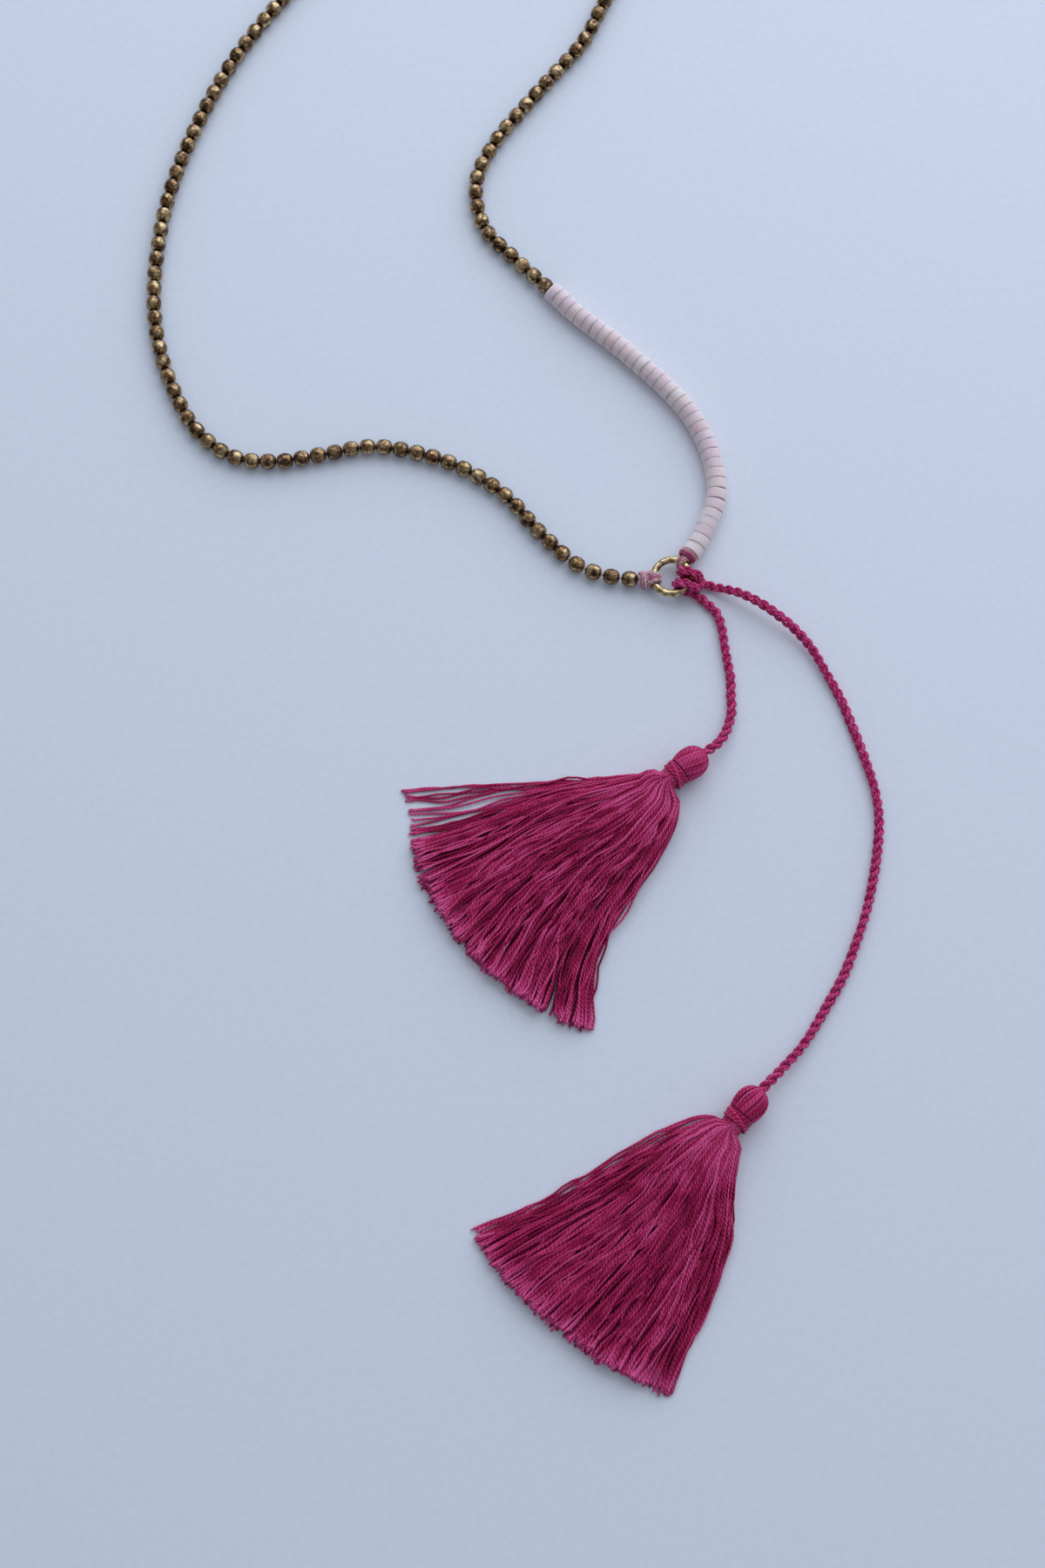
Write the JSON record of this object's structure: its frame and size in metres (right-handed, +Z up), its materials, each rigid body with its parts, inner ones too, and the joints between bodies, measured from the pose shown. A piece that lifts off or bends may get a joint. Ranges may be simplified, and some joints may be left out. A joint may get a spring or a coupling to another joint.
{
  "type": "tassel necklace",
  "caption": "Long necklace of round metal beads and pale flat disc beads joined at a small ring, with two fringed tassels on a twisted cord, laid flat.",
  "frame": {"origin": "middle of the necklace's outline on the surface that it lies on", "axes": "+Z up from the surface, +Y towards the back of the bead loop, -Y towards the tassels, +X to the right seen from above with the tassels nearest"},
  "size_m": [0.1371, 0.3928, 0.0058],
  "materials": {
    "bead_metal": "satin, antiqued",
    "disc_stone": "matte, waxy",
    "thread": "spun thread",
    "ring_metal": "polished",
    "cord": "two-ply twisted cord",
    "tassel_yarn": "loose twisted yarn with sheen",
    "binding_thread": "wound yarn"
  },
  "bodies": {
    "root": {"gold_beads": "bead_metal", "disc_beads": "disc_stone", "bead_thread": "thread", "ring": "ring_metal", "ball_knot": "thread", "coil_knot": "thread", "cord_hitch": "cord", "cord_short": "cord", "cord_long": "cord", "tassel_short": "tassel_yarn", "tassel_long": "tassel_yarn", "binding_short": "binding_thread", "binding_long": "binding_thread"}
  },
  "joints": []
}
